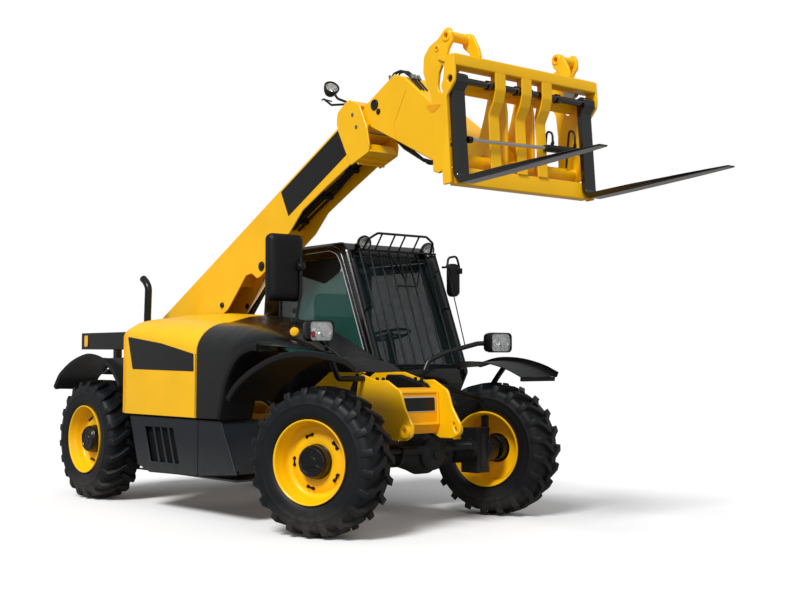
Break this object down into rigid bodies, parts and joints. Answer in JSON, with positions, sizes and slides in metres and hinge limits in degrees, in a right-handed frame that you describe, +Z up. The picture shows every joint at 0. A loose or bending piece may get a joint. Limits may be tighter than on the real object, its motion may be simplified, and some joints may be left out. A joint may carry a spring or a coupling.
{
  "type": "telehandler",
  "caption": "Compact telescopic handler with a side-mounted cab, an engine pod, a telescopic boom with gooseneck, a fork frame and four steered wheels.",
  "frame": {"origin": "on the ground, below the middle of the overall length and width", "axes": "+X forward, +Y to the driver's left, +Z up; the wheels stand on z = 0"},
  "size_m": [6.5258, 2.5465, 3.466],
  "materials": {
    "yellow_paint": "gloss",
    "black_paint": "satin",
    "black_plastic": "satin",
    "cab_black": "gloss",
    "green_glass": "clear",
    "tyre_rubber": "matte",
    "cast_dark": "satin",
    "chrome_rod": "polished",
    "hose_rubber": "satin",
    "lamp": "gloss",
    "seat_cloth": "matte",
    "nylon": "satin"
  },
  "bodies": {
    "chassis": {"chassis_frame": "yellow_paint", "headstock": "yellow_paint", "tow_hitch": "black_paint", "front_axle": "cast_dark", "rear_axle": "cast_dark", "engine_block": "cast_dark", "transmission": "cast_dark", "fuel_tank": "black_plastic", "cab_step": "black_paint", "side_pod": "black_plastic", "belly_skirt": "black_plastic", "exhaust_pipe": "black_paint", "rear_deck": "black_paint", "front_fenders": "black_plastic", "rear_fenders": "black_plastic", "fender_brackets": "black_paint", "cab_frame": "cab_black", "cab_glass": "green_glass", "seat": "seat_cloth", "steering_column": "black_plastic", "dashboard": "black_plastic", "roof_guard": "black_paint", "roof_lamps": "lamp", "headlamps": "lamp", "mirrors": "black_plastic"},
    "bonnet": {"bonnet": "yellow_paint"},
    "door": {"cab_door": "cab_black", "door_glass": "green_glass"},
    "boom": {"boom_outer": "yellow_paint", "boom_collar": "yellow_paint", "wear_pads": "nylon", "boom_hoses": "hose_rubber", "boom_lamp": "lamp"},
    "telescope": {"boom_inner": "yellow_paint", "boom_nose": "yellow_paint"},
    "carriage": {"hitch": "yellow_paint", "fork_frame": "yellow_paint", "fork_shaft": "black_paint", "fork_right": "black_paint", "fork_left": "black_paint", "positioner": "chrome_rod"},
    "lift_barrel": {"lift_barrel": "yellow_paint"},
    "lift_rod": {"lift_rod": "chrome_rod"},
    "knuckle_front_right": {"knuckle_front_right": "cast_dark"},
    "wheel_front_right": {"rim_front_right": "yellow_paint", "tyre_front_right": "tyre_rubber"},
    "knuckle_front_left": {"knuckle_front_left": "cast_dark"},
    "wheel_front_left": {"rim_front_left": "yellow_paint", "tyre_front_left": "tyre_rubber"},
    "knuckle_rear_right": {"knuckle_rear_right": "cast_dark"},
    "wheel_rear_right": {"rim_rear_right": "yellow_paint", "tyre_rear_right": "tyre_rubber"},
    "knuckle_rear_left": {"knuckle_rear_left": "cast_dark"},
    "wheel_rear_left": {"rim_rear_left": "yellow_paint", "tyre_rear_left": "tyre_rubber"}
  },
  "joints": [
    {"name": "boom_lift", "type": "hinge", "parent": "chassis", "child": "boom", "pos_m": [-2.743, -0.22, 1.4], "axis": [0, -1, 0], "range_deg": [-28.9, 38]},
    {"name": "boom_extend", "type": "slide", "parent": "boom", "child": "telescope", "axis": [0.8813, 0, 0.4726], "range_m": [0, 2.3]},
    {"name": "carriage_tilt", "type": "hinge", "parent": "telescope", "child": "carriage", "pos_m": [1.787, -0.22, 2.6], "axis": [0, -1, 0], "range_deg": [-85, 35]},
    {"name": "lift_barrel_swing", "type": "hinge", "parent": "chassis", "child": "lift_barrel", "pos_m": [-2.223, -0.22, 0.6], "axis": [0, -1, 0], "range_deg": [-26, 33.9]},
    {"name": "lift_rod_extend", "type": "slide", "parent": "lift_barrel", "child": "lift_rod", "axis": [0.6912, 0, 0.7226], "range_m": [-0.471, 0.614]},
    {"name": "cab_door", "type": "hinge", "parent": "chassis", "child": "door", "pos_m": [-1.173, 1.046, 1.5], "axis": [0, 0, 1], "range_deg": [0, 85]},
    {"name": "bonnet_lid", "type": "hinge", "parent": "chassis", "child": "bonnet", "pos_m": [-1.268, -0.412, 1.62], "axis": [-1, 0, 0], "range_deg": [0, 55]},
    {"name": "steer_front_right", "type": "hinge", "parent": "chassis", "child": "knuckle_front_right", "pos_m": [0.657, -0.715, 0.53], "axis": [0, 0, 1], "range_deg": [-52, 12]},
    {"name": "spin_front_right", "type": "hinge", "parent": "knuckle_front_right", "child": "wheel_front_right", "pos_m": [0.73738, -0.93583, 0.53], "axis": [-0.342, 0.9397, 0], "continuous": true},
    {"name": "steer_front_left", "type": "hinge", "parent": "chassis", "child": "knuckle_front_left", "pos_m": [0.657, 0.715, 0.53], "axis": [0, 0, 1], "range_deg": [-52, 12]},
    {"name": "spin_front_left", "type": "hinge", "parent": "knuckle_front_left", "child": "wheel_front_left", "pos_m": [0.59618, 0.94199, 0.53], "axis": [-0.2588, 0.9659, 0], "continuous": true},
    {"name": "steer_rear_right", "type": "hinge", "parent": "chassis", "child": "knuckle_rear_right", "pos_m": [-2.543, -0.715, 0.53], "axis": [0, 0, 1], "range_deg": [-32, 32]},
    {"name": "spin_rear_right", "type": "hinge", "parent": "knuckle_rear_right", "child": "wheel_rear_right", "pos_m": [-2.543, -0.95, 0.53], "axis": [0, 1, 0], "continuous": true},
    {"name": "steer_rear_left", "type": "hinge", "parent": "chassis", "child": "knuckle_rear_left", "pos_m": [-2.543, 0.715, 0.53], "axis": [0, 0, 1], "range_deg": [-32, 32]},
    {"name": "spin_rear_left", "type": "hinge", "parent": "knuckle_rear_left", "child": "wheel_rear_left", "pos_m": [-2.543, 0.95, 0.53], "axis": [0, 1, 0], "continuous": true}
  ],
  "couplings": [
    {"joint": "lift_barrel_swing", "follows": "boom_lift", "ratio": 0.865},
    {"joint": "lift_rod_extend", "follows": "boom_lift", "m_per_rad": 0.895},
    {"joint": "steer_front_left", "follows": "steer_front_right", "ratio": 1},
    {"joint": "steer_rear_left", "follows": "steer_rear_right", "ratio": 1}
  ]
}
